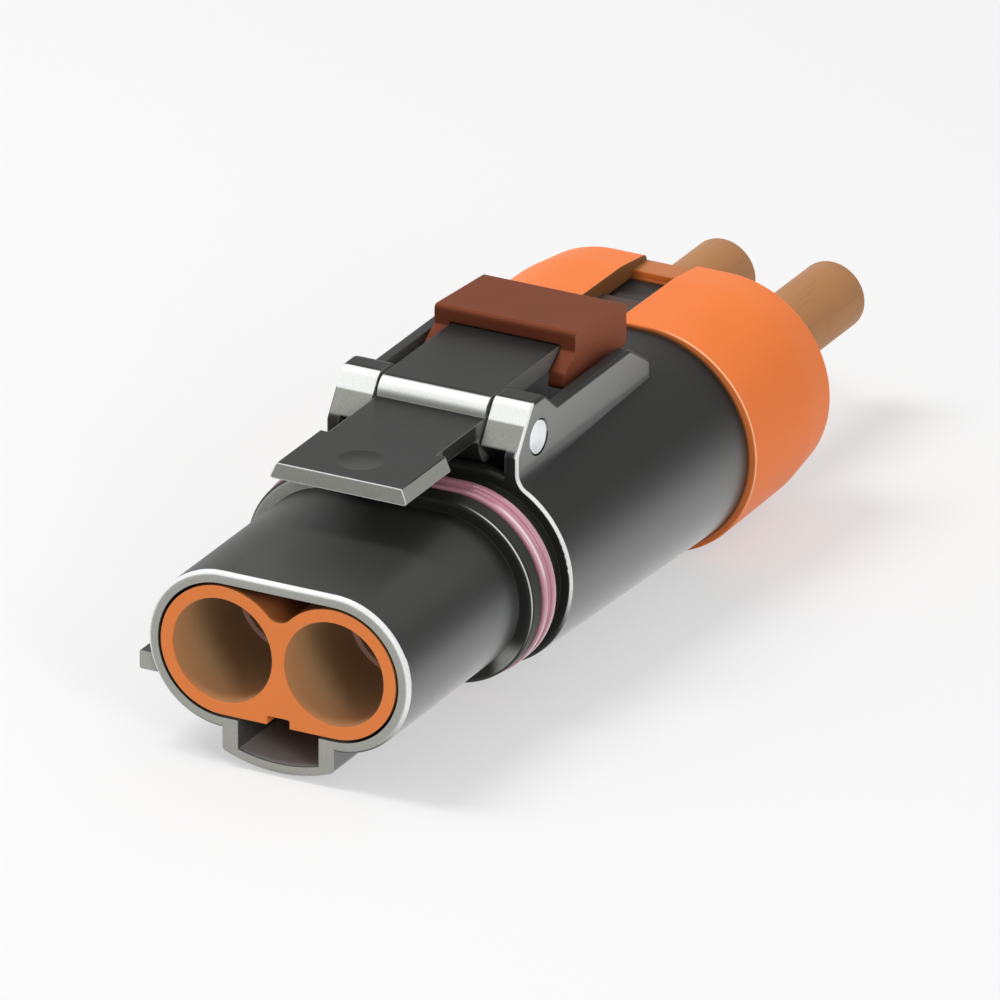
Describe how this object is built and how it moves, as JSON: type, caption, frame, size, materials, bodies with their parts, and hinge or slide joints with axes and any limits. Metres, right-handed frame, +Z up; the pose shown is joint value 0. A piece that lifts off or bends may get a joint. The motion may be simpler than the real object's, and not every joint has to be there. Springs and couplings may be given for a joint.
{
  "type": "two-pole power plug",
  "caption": "In-line two-pole high-voltage power plug with recessed socket contacts, ring seal, rocking latch lever, position lock, rear cap and cable tails.",
  "frame": {"origin": "centre of the mating face, midway between the two cells' axes", "axes": "+X right seen from the mating side, +Y back along the plug to the cables, +Z up to the latch"},
  "size_m": [0.0484, 0.137, 0.0397],
  "materials": {
    "dark_plastic": "satin, glass-filled",
    "orange_plastic": "satin",
    "red_plastic": "satin",
    "pale_plastic": "satin",
    "pink_silicone": "satin",
    "tinned_copper": "dull tin plate",
    "silvered_copper": "silver plate",
    "bare_copper": "drawn",
    "steel": "ground",
    "cable_sheath": "matt"
  },
  "bodies": {
    "housing": {"front_shell": "dark_plastic", "body_housing": "dark_plastic", "inner_housing": "orange_plastic", "rear_cap": "orange_plastic", "contact_retainer": "pale_plastic", "interface_seal": "pink_silicone", "cable_seal": "pink_silicone", "shield_can": "tinned_copper", "latch_pin": "steel", "latch_spring": "steel", "contact_left": "silvered_copper", "over_spring_left": "steel", "jacket_left": "cable_sheath", "braid_left": "tinned_copper", "inner_ferrule_left": "tinned_copper", "outer_ferrule_left": "tinned_copper", "insulation_left": "pale_plastic", "conductor_left": "bare_copper", "contact_right": "silvered_copper", "over_spring_right": "steel", "jacket_right": "cable_sheath", "braid_right": "tinned_copper", "inner_ferrule_right": "tinned_copper", "outer_ferrule_right": "tinned_copper", "insulation_right": "pale_plastic", "conductor_right": "bare_copper"},
    "lever": {"latch_lever": "dark_plastic"},
    "lock": {"position_lock": "red_plastic"}
  },
  "joints": [
    {"name": "latch_rock", "type": "hinge", "parent": "housing", "child": "lever", "pos_m": [0, 0.0443, 0.0168], "axis": [-1, 0, 0], "range_deg": [0, 5.5], "stiffness_Nm_per_rad": 0.8, "springref_deg": -2.86, "deforming": ["latch_spring"]},
    {"name": "lock_slide", "type": "slide", "parent": "lever", "child": "lock", "axis": [0, -1, 0], "range_m": [0, 0.005]}
  ]
}
